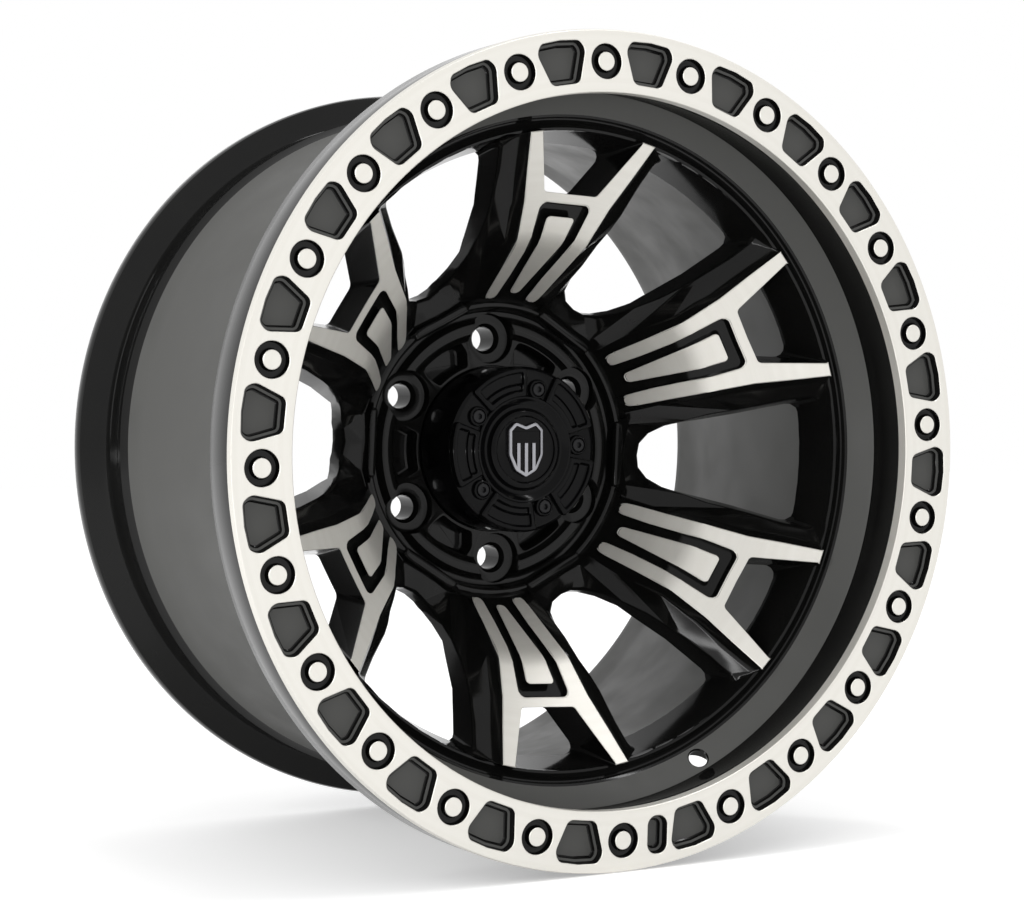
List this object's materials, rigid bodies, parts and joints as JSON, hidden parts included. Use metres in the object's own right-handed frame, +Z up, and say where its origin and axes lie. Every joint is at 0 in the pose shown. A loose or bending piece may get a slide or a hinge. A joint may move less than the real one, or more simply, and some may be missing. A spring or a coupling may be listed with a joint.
{
  "type": "car wheel",
  "caption": "One-piece cast off-road car wheel with a deep lip, a ring of cast-in discs, forked spokes and a tall hollow centre cap held by screws.",
  "frame": {"origin": "centre of the wheel's bounding box: on the wheel axis, half way between the ring face and the rear flange edge", "axes": "+Y along the wheel axis from the front face to the back, so the front looks along -Y; +Z up through the top of the wheel as it stands in the picture; +X to the right as seen from the front"},
  "size_m": [0.488, 0.278, 0.488],
  "materials": {
    "wheel_paint": "gloss black paint over cast aluminium, with bright turned faces on the ring, the lip and the spokes",
    "machined_face": "bright turned aluminium under clear coat",
    "cap_plastic": "gloss black",
    "badge_metal": "bright",
    "screw_steel": "black oxide"
  },
  "bodies": {
    "root": {"wheel": "wheel_paint", "centre_cap": "cap_plastic", "cap_badge": "badge_metal", "cap_screws": "screw_steel"}
  },
  "joints": []
}
